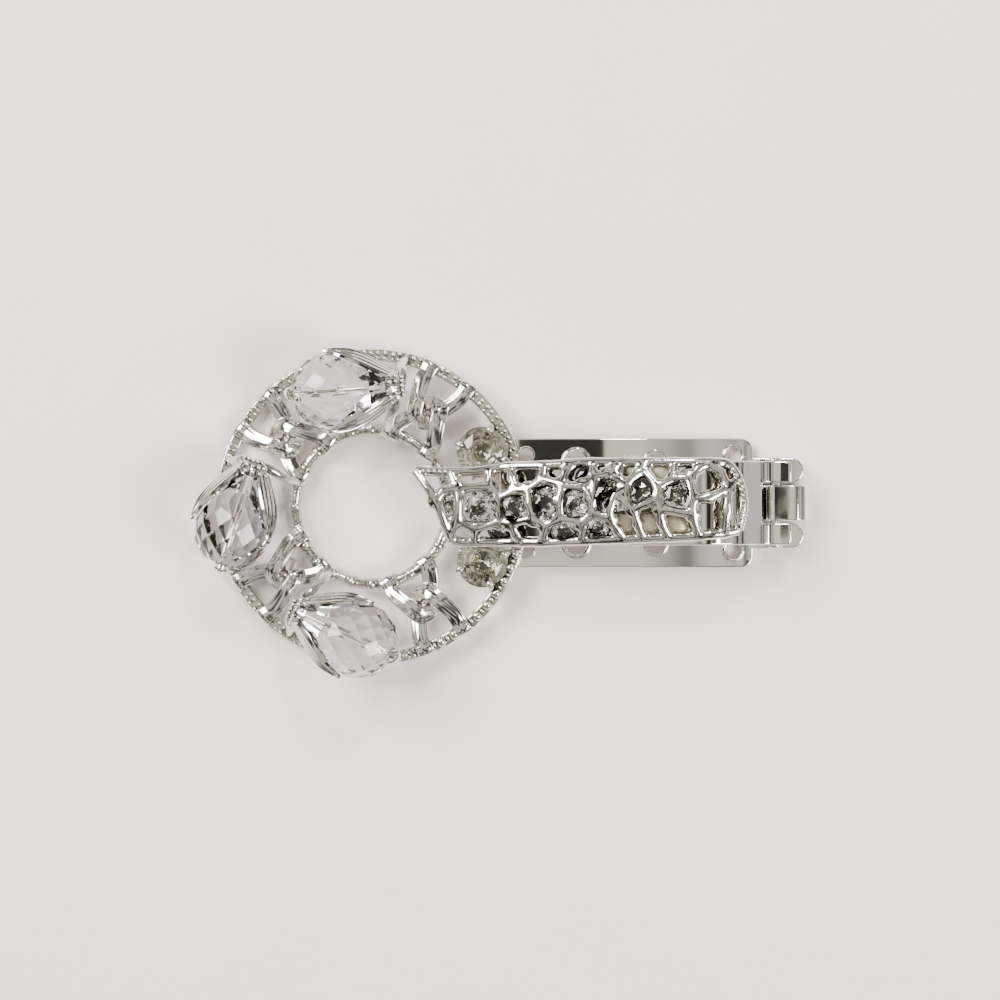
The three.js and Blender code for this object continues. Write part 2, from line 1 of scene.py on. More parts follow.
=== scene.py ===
"""A hinged metal hair clip with an openwork, rhinestone-set arm and a wreath of cut crystal drops."""

import json
import math
import random

import bmesh
import bpy
import numpy as np
from mathutils import Matrix, Vector
from mathutils.bvhtree import BVHTree


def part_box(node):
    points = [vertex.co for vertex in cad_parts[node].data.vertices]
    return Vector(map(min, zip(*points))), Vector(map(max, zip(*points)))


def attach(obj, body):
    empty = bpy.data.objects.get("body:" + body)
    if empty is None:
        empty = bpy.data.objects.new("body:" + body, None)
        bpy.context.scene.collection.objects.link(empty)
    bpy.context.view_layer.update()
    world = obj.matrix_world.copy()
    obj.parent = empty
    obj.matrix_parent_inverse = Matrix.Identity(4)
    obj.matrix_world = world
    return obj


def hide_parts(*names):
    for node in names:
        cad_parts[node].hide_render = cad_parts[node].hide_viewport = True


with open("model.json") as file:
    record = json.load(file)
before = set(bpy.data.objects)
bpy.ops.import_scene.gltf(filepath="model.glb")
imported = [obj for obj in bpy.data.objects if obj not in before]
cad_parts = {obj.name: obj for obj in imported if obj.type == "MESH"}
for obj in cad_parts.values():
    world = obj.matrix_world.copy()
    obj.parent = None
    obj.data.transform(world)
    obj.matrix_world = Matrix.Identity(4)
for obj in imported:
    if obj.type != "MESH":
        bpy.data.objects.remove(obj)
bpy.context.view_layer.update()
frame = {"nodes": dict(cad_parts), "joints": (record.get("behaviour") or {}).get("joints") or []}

MM = 0.001
TAU = 2 * math.pi
UP = Vector((0, 0, 1))
rng = random.Random(7)

# Sizes that the CAD part is made with, in millimetres
SHEET = 0.9
GAP = 0.3
PLATE_START = 0.8
PLATE_LENGTH = 31.4
PLATE_CORNER = 1.5
FINGER_END = 38.7
FINGER_OUTER = 5.75
FINGER_INNER = 2.55
# X, Y, radius of the bore and radius of the rim
SEWING_HOLES = (
    (3.3, 6.1, 0.82, 1.15),
    (9.7, 5.2, 1.3, 1.95),
    (19.8, 5.2, 1.25, 1.65),
    (29.7, 6.1, 0.95, 1.4),
)
TONGUE_WIDTH = 4.5
TONGUE_THICK = 0.8
TONGUE_BEND = 37.2
PIN_RADIUS = 0.6
PIN_PLAY = 0.08
PIN_HEAD = 1.0
HEAD_GAP = 0.15
CURL_GAP = 0.12
LUG_RADIUS = 1.2
LUG_THICK = 0.85
SLOT_START = 32.9
STRAP_END = 36.9
COVER_HALF = 5.0
RING_WIRE = 0.6
KNOT_ANGLES = (59, 141, 217.5, 299)
DROP_LENGTH = 12.6
DROP_RADIUS = 4.9
DROP_NECK = 1.1
DROP_HEIGHT = 5.2
DROPS = (
    {"angle": 77, "distance": 15.6, "heading": 184.2},
    {"angle": 161.2, "distance": 15.4, "heading": 252.2},
    {"angle": 236.8, "distance": 15.8, "heading": 335.2},
)
ROUND_STONE_ANGLE = 26
ROUND_STONE_DISTANCE = 15.8
ROUND_STONE_GIRDLE = 1.0

# Sizes of the finer shapes that stand for the CAD's, in millimetres and degrees
PLATE_EDGE = 0.16
STRAP_EDGE = 0.2
LUG_EDGE = 0.14
COVER_LIFT = 1.08
COVER_DOME = 1.45
BALL_ROW = (292, 342)
ROUND_STONE_RADIUS = 3.3
LEAF_RIDGES = 4
RIBBON_WIDTH = 2.15
RIBBON_THICK = 0.66
OUTER_BEND = 12.6
INNER_BEND = 15.3
LOOP_RISE = 0.75
LOOP_SHIFT = 0.3
RIM_RADIUS = 0.66
RIB_RADIUS = 0.64
WEB_RADIUS = 1.2
LACE_VOXEL = 0.11
GRAIN_PITCH = 0.36
PAD_RADIUS = 1.6
STONE_GROWTH = 1.62
STONE_SINK = 0.155

# The camera looks straight down from here, in metres. It stands to one side of the clip by 3 pixels
# of the photo, which has 7.84 pixels to the millimetre.
CAMERA_DISTANCE = 0.6
CAMERA_SIDESTEP = 3 / 7.84 * MM
VIEW_WIDTH = 0.1276

# The lace of the cover: where its ribs meet, and the ribs as smooth runs from node to node
LACE_NODES = {
    "t0": (-10.6, 4.1), "t1": (-6.2, 3.9), "t2": (-1.3, 4.2), "t3": (1.1, 4.6), "t4": (5.6, 4.7),
    "t5": (9.4, 5.0), "t6": (11.5, 5.1), "t7": (15.3, 5.1), "t8": (18.9, 5.1), "t9": (21.8, 5.1),
    "t10": (26.1, 5.1), "t11": (28.4, 4.9), "r1": (29.8, 3.2), "r2": (30.5, 0.4), "r3": (29.9, -3.4),
    "u0": (-8.1, 0.3), "v0": (-7.0, 1.5), "u1": (-5.2, 1.8), "u2": (-1.3, 1.9), "u3": (-0.3, 0.5),
    "u4": (2.0, 1.6), "u5": (3.5, 1.7), "u6": (5.5, 2.8), "u7": (7.8, 2.3), "u8": (10.4, 2.2),
    "u9": (11.8, 3.2), "u10": (13.5, 3.5), "u11": (14.5, 3.9), "u12": (15.6, 2.2), "v12": (17.2, 3.7),
    "u13": (18.0, 4.2), "u14": (19.7, 2.0), "u15": (21.7, 3.0), "u16": (23.6, 3.2), "v16": (24.8, 4.3),
    "w16": (26.3, 4.7), "x16": (27.6, 3.7), "m3": (7.5, 0.3), "m4": (11.6, 0.6), "m5": (15.4, 1.5),
    "m6": (19.6, 0.6), "m7": (24.1, 0.5), "m8": (28.5, 1.8), "n7": (26.2, 0.7), "n8": (28.4, -1.0),
    "l1": (-5.4, -2.2), "l2": (-3.0, -3.1), "l3": (-0.1, -2.4), "l4": (1.3, -2.5), "l5": (4.2, -2.0),
    "l6": (5.7, -2.8), "l7": (7.4, -1.8), "l8": (10.2, -2.5), "l9": (11.7, -1.1), "l10": (13.8, -2.0),
    "l11": (14.5, 1.0), "l12": (16.6, -0.8), "k12": (18.2, 0.0), "l14": (20.0, -0.7), "l15": (24.1, -1.4),
    "a1": (-5.7, 2.8), "a2": (0.1, -1.0), "a4": (1.6, 3.2), "a5": (3.8, 0.0), "a7": (8.3, 3.9),
    "a8": (2.0, -3.9), "a9": (13.8, -0.4), "a10": (14.7, -3.4), "a11": (14.9, 3.0), "a12": (15.7, 0.7),
    "a13": (17.2, -2.6), "a14": (20.2, -2.4), "a15": (15.6, 0.2), "d0": (-6.3, -4.1), "d1": (-5.0, -4.9),
    "d2": (-3.2, -4.9), "d3": (2.8, -4.9), "d4": (5.4, -4.9), "d5": (10.3, -4.7), "d6": (15.7, -4.5),
    "d7": (18.0, -4.4), "d8": (21.2, -4.3), "d9": (24.9, -4.1), "d10": (26.5, -3.9), "d11": (28.1, -3.8),
}
# Middles of the cells that hold a pad of cement and no stone
CEMENT_CELLS = ((15.5, -2.5), (18.7, -2.3), (22.1, -2.8), (16.9, 4.5), (20.2, 3.9))
# Letters of the nodes where three ribs or more meet in a web
LACE_WEBS = "ulm"
LACE_RIM = (
    "t0 t1 t2 t3 t4 t5 t6 t7 t8 t9 t10 t11 r1 r2 r3",
    "t0 u0 d0 d1 d2 d3 d4 d5 d6 d7 d8 d9 d10 d11 r3",
)
LACE_RIBS = (
    "u0 v0 u1 u2 u3 a2 l3", "t1 a1 u1 l1 d0", "l1 l2 l3 l4 l5 l6", "l2 d2", "l4 a8 d3", "l6 d4", "t2 u2",
    "u3 u4 u5 u6 u7", "t3 a4 u4", "u6 t4", "u5 a5 l5", "l6 l7 m3 u7", "u7 a7 t5", "l7 l8 d5",
    "u7 u8 u9 u10 u11 t7", "t6 u9 m4 l9 l10", "u8 m4", "l8 l9", "u10 u12 m5", "m5 l11 a9 l10 a10 d6",
    "u11 a11 u12 a12 l12 a13 d7", "l11 a15 l12", "u12 v12 u13 t8", "u13 u14 m6 l14 a14 d8", "l12 k12 m6",
    "u14 u15 u16 v16 w16 x16 m8 n8 d11", "t9 u15", "w16 t10", "u16 m7 l15 d9", "m7 n7 m8", "l14 l15",
    "m8 r1",
)

# ------------------------------------------------------------------ places, from the frame

plate_low, plate_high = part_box("base_plate")
strap_low, strap_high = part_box("arm_strap")
# The middle of the strap's free end, on the table: the sizes above are measured from it
origin = Vector((plate_low[0] - PLATE_START * MM, (plate_low[1] + plate_high[1]) / 2, 0))
plate_half = (plate_high[1] - plate_low[1]) / 2 / MM
strap_half = (strap_high[1] - strap_low[1]) / 2 / MM
pin = (Vector(frame["joints"][0]["pos_m"]) - origin) / MM


def ring_frame():
    """Matrix of the wreath's plane, and the radii of its two rings, in millimetres."""
    low, high = (Vector(corner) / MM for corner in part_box("wreath_outer_ring"))
    inner_low, inner_high = (Vector(corner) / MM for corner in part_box("wreath_inner_ring"))
    outer = (high.y - low.y) / 2 - RING_WIRE
    inner = (inner_high.y - inner_low.y) / 2 - RING_WIRE
    tilt = math.asin(((high.z - low.z) / 2 - RING_WIRE) / outer)
    matrix = Matrix.Translation((low + high) / 2) @ Matrix.Rotation(-tilt, 4, "Y")
    return matrix, outer, inner


wreath, OUTER_RING, INNER_RING = ring_frame()
clip = Matrix.Translation(origin / MM)


def profile_of(node, y, start, end):
    """Mid-height of a bent sheet along X at one Y, smoothed, as a function of X in millimetres."""
    tree = BVHTree.FromObject(frame["nodes"][node], bpy.context.evaluated_depsgraph_get())
    stations = np.arange(start, end, 0.5)
    heights = []
    for x in stations:
        hit = tree.ray_cast(origin + Vector((x, y, 40)) * MM, -UP)[0]
        heights.append(heights[-1] if hit is None else hit.z / MM - SHEET / 2)
    smooth = np.array(heights)
    for _ in range(4):
        smooth[1:-1] = (smooth[:-2] + 2 * smooth[1:-1] + smooth[2:]) / 4
    return lambda x: float(np.interp(x, stations, smooth))


plate_line = profile_of("base_plate", 2.9, PLATE_START + 0.1, 38)
strap_line = profile_of("arm_strap", 4.0, 0.1, STRAP_END - 0.1)


def slope_at(line, x, reach=0.3):
    """Rise per millimetre of a line of heights, over a short reach to each side."""
    return (line(x + reach) - line(x - reach)) / (2 * reach)


# ------------------------------------------------------------------ mesh tools, all in millimetres


def put(name, mesh, material, matrix, body="arm", node=None, smooth=True, flat_sheet=False):
    """Scales a mesh to metres, places it and lets it ride on a body; a flat sheet keeps its mirror flat."""
    mesh.transform(Matrix.Diagonal((MM, MM, MM, 1)) @ matrix)
    mesh.update()
    piece = bpy.data.objects.new(name, mesh)
    bpy.context.scene.collection.objects.link(piece)
    if smooth:
        mesh.shade_smooth()
        mesh.set_sharp_from_angle(angle=math.radians(40))
    mesh.materials.clear()
    mesh.materials.append(material)
    if flat_sheet:
        piece.modifiers.new("flat", "WEIGHTED_NORMAL").keep_sharp = True
    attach(piece, body)
    if node:
        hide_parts(node)
    return piece


def from_bmesh(bm, recalc=True):
    if recalc:
        bmesh.ops.recalc_face_normals(bm, faces=bm.faces)
    mesh = bpy.data.meshes.new("piece")
    bm.to_mesh(mesh)
    bm.free()
    return mesh


def joined(meshes):
    """One mesh out of several."""
    bm = bmesh.new()
    for mesh in meshes:
        bm.from_mesh(mesh)
        bpy.data.meshes.remove(mesh)
    return from_bmesh(bm, recalc=False)


def curve_points(controls, per_span=8):
    """Catmull-Rom curve through control points."""
    controls = [Vector(point) for point in controls]
    last = len(controls) - 1
    points = []
    for index in range(last):
        p0, p1, p2, p3 = (controls[min(max(index + k, 0), last)] for k in (-1, 0, 1, 2))
        bowed = 2 * p0 - 5 * p1 + 4 * p2 - p3
        twisted = 3 * p1 - p0 - 3 * p2 + p3
        for step in range(per_span):
            t = step / per_span
            points.append(0.5 * (2 * p1 + (p2 - p0) * t + bowed * t**2 + twisted * t**3))
    return [*points, controls[-1]]


def cap_end(bm, ring, along, rounded):
    """Closes one end of a sweep, flat or with a blunt round tip."""
    if not rounded:
        bm.faces.new(ring)
        return
    outward = along.normalized()
    centre = sum((vert.co for vert in ring), Vector()) / len(ring)
    reach = max((vert.co - centre).length for vert in ring) * 0.8
    tip = bm.verts.new(centre + outward * reach)
    shoulder = [bm.verts.new(centre + (vert.co - centre) * 0.72 + outward * reach * 0.7) for vert in ring]
    for side in range(len(ring)):
        other = (side + 1) % len(ring)
        bm.faces.new((ring[side], ring[other], shoulder[other], shoulder[side]))
        bm.faces.new((shoulder[side], shoulder[other], tip))


def sweep(points, section, up=UP, scales=None, closed=False, round_ends=False):
    """A section, as (across, upward) pairs, carried along points; scales holds (across, upward) factors.

    The up direction is one vector, or a function of a point's index and place.
    """
    bm = bmesh.new()
    count = len(points)
    rings = []
    for index, point in enumerate(points):
        if closed:
            along = points[(index + 1) % count] - points[index - 1]
        else:
            along = points[min(index + 1, count - 1)] - points[max(index - 1, 0)]
        lift = up(index, point) if callable(up) else up
        across = along.cross(lift).normalized()
        upward = across.cross(along).normalized()
        wide, tall = scales[index] if scales else (1, 1)
        rings.append([bm.verts.new(point + across * a * wide + upward * b * tall) for a, b in section])
    sides = len(section)
    for index in range(count if closed else count - 1):
        here, there = rings[index], rings[(index + 1) % count]
        for side in range(sides):
            other = (side + 1) % sides
            bm.faces.new((here[side], here[other], there[other], there[side]))
    if not closed:
        cap_end(bm, rings[0], points[0] - points[1], round_ends)
        cap_end(bm, rings[-1], points[-1] - points[-2], round_ends)
    return from_bmesh(bm)


def circle(radius, sides=16):
    return [(radius * math.cos(TAU * k / sides), radius * math.sin(TAU * k / sides)) for k in range(sides)]


def flat_section(width, thickness, edge=0.3, crown=0.0):
    """Rounded rectangle; crown lifts the middle of its upper side."""
    half, depth = width / 2, thickness / 2
    corner_steps = 5
    section = []
    for cx, cz, start in ((1, 1, 0), (-1, 1, 90), (-1, -1, 180), (1, -1, 270)):
        for step in range(corner_steps):
            angle = math.radians(start + 22.5 * step)
            across = cx * (half - edge) + edge * math.cos(angle)
            section.append((across, cz * (depth - edge) + edge * math.sin(angle)))
    lifted = [(a, b + crown * (1 - (a / half) ** 2) if b > 0 else b) for a, b in section]
    shares = [0.8 - 0.2 * step for step in range(9)]
    top = [(share * (half - edge), depth + crown * (1 - share * share)) for share in shares]
    return lifted[:corner_steps] + top + lifted[corner_steps:]


def turned(profile, sides=32):
    """Solid of revolution about Z from (radius, height) pairs that start and end on the axis."""
    bm = bmesh.new()
    rings = []
    for radius, height in profile:
        if radius < 1e-6:
            rings.append([bm.verts.new((0, 0, height))])
        else:
            rings.append([bm.verts.new((x, y, height)) for x, y in circle(radius, sides)])
    for low, high in zip(rings, rings[1:]):
        for side in range(sides):
            other = (side + 1) % sides
            corners = [low[side % len(low)], low[other % len(low)]]
            corners += [high[other % len(high)], high[side % len(high)]]
            # A level on the axis has one point, which stands in for both corners
            bm.faces.new(list(dict.fromkeys(corners)))
    return from_bmesh(bm)


def ball(centre, radius, squash=1.0, detail=2):
    bm = bmesh.new()
    bmesh.ops.create_icosphere(bm, subdivisions=detail, radius=radius)
    matrix = Matrix.Translation(centre) @ Matrix.Diagonal((1, 1, squash, 1))
    bmesh.ops.transform(bm, matrix=matrix, verts=bm.verts)
    return from_bmesh(bm)


def arc(centre, radius, start, end, steps=10):
    angles = [math.radians(start + (end - start) * k / steps) for k in range(steps + 1)]
    return [(centre[0] + radius * math.cos(a), centre[1] + radius * math.sin(a)) for a in angles]


def sheet_metal(outlines, thickness, edge):
    """Flat plate with rounded edges from one outer outline and its holes, lying in the XY plane."""
    curve = bpy.data.curves.new("outline", "CURVE")
    curve.dimensions = "2D"
    curve.fill_mode = "BOTH"
    curve.extrude = thickness / 2 - edge
    curve.bevel_depth = edge
    curve.bevel_resolution = 3
    curve.offset = -edge
    for outline in outlines:
        spline = curve.splines.new("POLY")
        spline.points.add(len(outline) - 1)
        for point, (x, y) in zip(spline.points, outline):
            point.co = (x, y, 0, 1)
        spline.use_cyclic_u = True
    holder = bpy.data.objects.new("outline", curve)
    bpy.context.scene.collection.objects.link(holder)
    mesh = bpy.data.meshes.new_from_object(holder.evaluated_get(bpy.context.evaluated_depsgraph_get()))
    bpy.data.objects.remove(holder)
    bm = bmesh.new()
    bm.from_mesh(mesh)
    bmesh.ops.remove_doubles(bm, verts=bm.verts, dist=1e-4)
    return bm


def bend(bm, line, start, end, step=0.5):
    """Cuts a flat plate across every step of X and lays it along a line of heights."""
    x = start
    while x < end:
        geometry = bm.verts[:] + bm.edges[:] + bm.faces[:]
        bmesh.ops.bisect_plane(bm, geom=geometry, plane_co=(x, 0, 0), plane_no=(1, 0, 0), dist=1e-4)
        x += step
    for vert in bm.verts:
        x, _, height = vert.co
        slope = math.atan(slope_at(line, x))
        vert.co.x = x - height * math.sin(slope)
        vert.co.z = line(x) + height * math.cos(slope)
    return from_bmesh(bm)


# ------------------------------------------------------------------ materials


class Shader:
    """A material's node tree around one Principled shader."""

    def __init__(self, name, **constants):
        self.material = bpy.data.materials.new(name)
        self.material.use_nodes = True
        self.nodes = self.material.node_tree.nodes
        self.links = self.material.node_tree.links
        self.principled = self.nodes["Principled BSDF"]
        for socket, value in constants.items():
            self.principled.inputs[socket.replace("_", " ")].default_value = value
        self.place = self.nodes.new("ShaderNodeTexCoord").outputs["Object"]

    def noise(self, scale, detail=3.0, roughness=0.5, stretch=(1, 1, 1)):
        mapping = self.nodes.new("ShaderNodeMapping")
        mapping.inputs["Scale"].default_value = stretch
        noise = self.nodes.new("ShaderNodeTexNoise")
        noise.inputs["Scale"].default_value = scale
        noise.inputs["Detail"].default_value = detail
        noise.inputs["Roughness"].default_value = roughness
        self.links.new(self.place, mapping.inputs["Vector"])
        self.links.new(mapping.outputs["Vector"], noise.inputs["Vector"])
        return noise.outputs["Fac"]

    def spread(self, value, low, high, start=0.3, end=0.7):
        span = self.nodes.new("ShaderNodeMapRange")
        span.inputs["From Min"].default_value = start
        span.inputs["From Max"].default_value = end
        span.inputs["To Min"].default_value = low
        span.inputs["To Max"].default_value = high
        self.links.new(value, span.inputs["Value"])
        return span.outputs["Result"]

    def mix(self, factor, dark, light):
        mix = self.nodes.new("ShaderNodeMix")
        mix.data_type = "RGBA"
        mix.inputs["A"].default_value = (*dark, 1)
        mix.inputs["B"].default_value = (*light, 1)
        self.links.new(factor, mix.inputs["Factor"])
        return mix.outputs["Result"]

    def recess(self, distance):
        """0 deep in a recess, 1 on an open face."""
        shade = self.nodes.new("ShaderNodeAmbientOcclusion")
        shade.inputs["Distance"].default_value = distance
        shade.samples = 6
        return shade.outputs["AO"]

    def bump(self, height, strength, distance):
        bump = self.nodes.new("ShaderNodeBump")
        bump.inputs["Strength"].default_value = strength
        bump.inputs["Distance"].default_value = distance
        self.links.new(height, bump.inputs["Height"])
        self.links.new(bump.outputs["Normal"], self.principled.inputs["Normal"])

    def drive(self, socket, value):
        self.links.new(value, self.principled.inputs[socket])


def polished_metal(name, dark, light, smooth=0.015, hazy=0.06):
    """Rhodium plating on polished metal: nearly a mirror, with faint handling marks."""
    shader = Shader(name, Metallic=1.0)
    shader.drive("Roughness", shader.spread(shader.noise(260, 3), smooth, hazy))
    shader.drive("Base Color", shader.mix(shader.noise(120, 2), dark, light))
    shader.bump(shader.noise(220, 2), 0.012, 0.00003)
    return shader.material


def cast_metal(name, dark, light, reach=0.0022, open_face=0.92):
    """Plated casting with painted shade: bright on its raised parts, painted grey-brown shade in its
    recesses, with a faintly wavy skin.
    """
    shader = Shader(name, Metallic=1.0)
    # Painted shade: ambient occlusion turns the base colour to the dark colour deep in recesses
    shade = shader.spread(shader.recess(reach), 0.0, 1.0, 0.3, open_face)
    shader.drive("Base Color", shader.mix(shade, dark, light))
    shader.drive("Roughness", shader.spread(shader.noise(700, 4), 0.06, 0.18))
    shader.bump(shader.noise(1300, 4, 0.55), 0.14, 0.00006)
    return shader.material


def spring_wire():
    shader = Shader("spring_wire", Metallic=1.0)
    shader.drive("Roughness", shader.spread(shader.noise(1500, 3, 0.5, (1, 1, 6)), 0.2, 0.36))
    shader.drive("Base Color", shader.mix(shader.noise(600), (0.42, 0.42, 0.43), (0.62, 0.61, 0.60)))
    return shader.material


def cut_glass(name, clear, tinted, ior=1.56):
    """Cut glass with a breath of colour variation and very fine polishing haze."""
    shader = Shader(name, IOR=ior)
    shader.principled.inputs["Transmission Weight"].default_value = 1.0
    shader.drive("Base Color", shader.mix(shader.noise(150, 2), clear, tinted))
    shader.drive("Roughness", shader.spread(shader.noise(500), 0.0, 0.02))
    return shader.material


def foil(name, dark, light):
    """The mirror backing of a foiled stone: patches bumped so each faces its own way, with their colours
    painted light or dark as a painted flash.
    """
    shader = Shader(name, Metallic=1.0)
    patches = shader.nodes.new("ShaderNodeTexVoronoi")
    patches.inputs["Scale"].default_value = 1250
    shader.links.new(shader.place, patches.inputs["Vector"])
    # Painted reflection: each patch gets a light or a dark colour, standing in for the flash of the foil
    painted_flash = shader.spread(patches.outputs["Color"], 0, 1, 0.42, 0.72)
    shader.drive("Base Color", shader.mix(painted_flash, dark, light))
    shader.drive("Roughness", shader.spread(shader.noise(1200, 3), 0.03, 0.12))
    shader.bump(patches.outputs["Distance"], 1.0, 0.0006)
    return shader.material


def cement():
    """Beige setting cement with a dull gloss."""
    shader = Shader("setting_cement")
    shader.drive("Metallic", shader.spread(shader.noise(500, 2), 0.35, 0.65))
    shader.drive("Base Color", shader.mix(shader.noise(900, 3), (0.36, 0.31, 0.20), (0.66, 0.60, 0.46)))
    shader.drive("Roughness", shader.spread(shader.noise(700, 3), 0.22, 0.4))
    shader.bump(shader.noise(900, 3), 0.2, 0.0001)
    return shader.material


def paper():
    shader = Shader("pale_floor", Roughness=0.75)
    shader.drive("Base Color", shader.mix(shader.noise(60, 4), (0.88, 0.795, 0.775), (0.91, 0.83, 0.81)))
    shader.bump(shader.noise(2500, 4), 0.05, 0.0001)
    return shader.material


POLISHED = polished_metal("polished_rhodium", (0.80, 0.77, 0.71), (0.88, 0.855, 0.80))
RIBBON = polished_metal("ribbon_rhodium", (0.72, 0.69, 0.65), (0.82, 0.79, 0.75), 0.09, 0.17)
# The first colour of each casting is painted shade for its recesses; the second is its plated metal
CAST = cast_metal("cast_rhodium", (0.12, 0.10, 0.065), (0.68, 0.655, 0.605))
BEADED = cast_metal("beaded_rhodium", (0.04, 0.03, 0.015), (0.66, 0.63, 0.57), 0.0009, 0.97)
LEAF = cast_metal("leaf_rhodium", (0.13, 0.11, 0.075), (0.72, 0.695, 0.65))
SPRING = spring_wire()
CRYSTAL = cut_glass("clear_crystal", (0.985, 0.965, 1.0), (0.94, 0.905, 0.975))
CHAMPAGNE = cut_glass("champagne_glass", (0.99, 0.975, 0.92), (0.97, 0.94, 0.84), 1.6)
RHINESTONE = cut_glass("rhinestone_glass", (0.99, 0.985, 0.97), (0.97, 0.955, 0.92), 1.6)
# The dark colour of each foil is a painted dark flash; the light colour is the foil itself
CHAMPAGNE_FOIL = foil("champagne_foil", (0.07, 0.055, 0.02), (0.92, 0.86, 0.62))
RHINESTONE_FOIL = foil("rhinestone_foil", (0.13, 0.11, 0.075), (0.90, 0.87, 0.79))
CEMENT = cement()

# ------------------------------------------------------------------ base plate and hinge


def plate_outline():
    end = PLATE_START + PLATE_LENGTH
    low, high, corner = -plate_half, plate_half, PLATE_CORNER
    finger = (FINGER_OUTER - FINGER_INNER) / 2
    tip = FINGER_END - finger
    middle = (FINGER_OUTER + FINGER_INNER) / 2
    fillet = 0.4
    slot = SLOT_START + GAP + fillet
    outline = arc((PLATE_START + corner, low + corner), corner, 180, 270)
    outline += arc((end - corner, low + corner), corner, 270, 360)
    outline += [(end, -FINGER_OUTER)]
    outline += arc((tip, -middle), finger, -90, 90, 16)
    outline += arc((slot, -FINGER_INNER + fillet), fillet, -90, -180, 4)
    outline += arc((slot, FINGER_INNER - fillet), fillet, 180, 90, 4)
    outline += arc((tip, middle), finger, -90, 90, 16)
    outline += [(end, FINGER_OUTER)]
    outline += arc((end - corner, high - corner), corner, 0, 90)
    outline += arc((PLATE_START + corner, high - corner), corner, 90, 180)
    return outline


def tongue_points():
    """From the neck out, back over itself and round the pin."""
    curl = PIN_RADIUS + CURL_GAP + TONGUE_THICK / 2
    top = pin.z + curl
    radius = (top - SHEET / 2) / 2
    fold = arc((TONGUE_BEND, SHEET / 2 + radius), radius, -90, 90, 20)
    hook = arc((pin.x, pin.z), curl, 90, 290, 28)
    straight = [(PLATE_START + PLATE_LENGTH + 0.1 + 0.7 * k, SHEET / 2) for k in range(7)]
    back = [(TONGUE_BEND - 0.5 * k, top) for k in range(1, 5)]
    return [Vector((x, 0, z)) for x, z in straight + fold[1:] + back + hook]


def make_tongue():
    line = tongue_points()

    def outside(index, _):
        """The same side of the folded strip all the way."""
        along = line[min(index + 1, len(line) - 1)] - line[max(index - 1, 0)]
        return along.cross(Vector((0, 1, 0)))

    return sweep(line, flat_section(TONGUE_WIDTH, TONGUE_THICK, 0.2), up=outside)


def make_hole_rim(x, y, radius, rim):
    half_width, half_height = (rim - radius) / 2, 0.3
    surface = SHEET / 2 - 0.02
    around = arc((x, y), radius + half_width, 0, 350, 35)
    path = [Vector((cx, cy, plate_line(cx) + surface)) for cx, cy in around]
    section = [(a * half_width, b * half_height) for a, b in circle(1, 14)]
    return sweep(path, section, closed=True)


def make_base():
    holes = [(x, side * y, radius, rim) for x, y, radius, rim in SEWING_HOLES for side in (1, -1)]
    outlines = [plate_outline()] + [arc((x, y), radius, 0, 345, 23) for x, y, radius, _ in holes]
    plate = bend(sheet_metal(outlines, SHEET, PLATE_EDGE), plate_line, PLATE_START, FINGER_END - 0.2)
    mesh = joined([plate, *(make_hole_rim(*hole) for hole in holes), make_tongue()])
    put("base_plate_looks", mesh, POLISHED, clip, "base", "base_plate", flat_sheet=True)


def make_pin():
    half = strap_half + HEAD_GAP
    side = [(0, -half - 0.42), (0.5, -half - 0.4), (0.85, -half - 0.28), (PIN_HEAD, -half - 0.08)]
    side += [(PIN_HEAD, -half)]
    profile = side + [(PIN_RADIUS, -half), (PIN_RADIUS, half)] + [(r, -h) for r, h in reversed(side)]
    matrix = clip @ Matrix.Translation((pin.x, 0, pin.z)) @ Matrix.Rotation(math.pi / 2, 4, "X")
    put("hinge_pin_looks", turned(profile), POLISHED, matrix, "base", "hinge_pin")


def dress_frame_node(node, material, bevel=0.0):
    """Gives a CAD node that shows as it is its finish and, where asked, softened edges."""
    piece = frame["nodes"][node]
    piece.data.materials.clear()
    piece.data.materials.append(material)
    if bevel:
        modifier = piece.modifiers.new("edges", "BEVEL")
        modifier.width = bevel * MM
        modifier.segments = 3
        modifier.limit_method = "ANGLE"
        modifier.angle_limit = math.radians(35)


# ------------------------------------------------------------------ arm


def strap_outline():
    slot = TONGUE_WIDTH / 2 + GAP
    free, hinge, inner = 0.8, 0.7, 0.4  # corner radii at the free end, at the hinge and round the slot
    half, end = strap_half, STRAP_END
    outline = arc((free, -half + free), free, 180, 270, 6)
    outline += arc((end - hinge, -half + hinge), hinge, 270, 360, 6)
    outline += arc((end - inner, -slot - inner), inner, 0, 90, 4)
    outline += arc((SLOT_START + inner, -slot + inner), inner, 270, 180, 4)
    outline += arc((SLOT_START + inner, slot - inner), inner, 180, 90, 4)
    outline += arc((end - inner, slot + inner), inner, 270, 360, 4)
    outline += arc((end - hinge, half - hinge), hinge, 0, 90, 6)
    outline += arc((free, half - free), free, 90, 180, 6)
    return outline


def make_lug(side):
    """Ear bent down beside the hinge, bored for the pin."""
    top = strap_line(STRAP_END - 0.9) - pin.z
    outline = [(LUG_RADIUS, top), (-LUG_RADIUS, top)] + arc((0, 0), LUG_RADIUS, 180, 360, 20)
    bore = arc((0, 0), PIN_RADIUS + PIN_PLAY, 0, 340, 17)
    bm = sheet_metal([outline, bore], LUG_THICK, LUG_EDGE)
    middle = side * (strap_half - LUG_THICK / 2)
    bmesh.ops.transform(bm, matrix=Matrix.Rotation(math.pi / 2, 4, "X"), verts=bm.verts)
    bmesh.ops.translate(bm, vec=(pin.x, middle, pin.z), verts=bm.verts)
    return from_bmesh(bm)


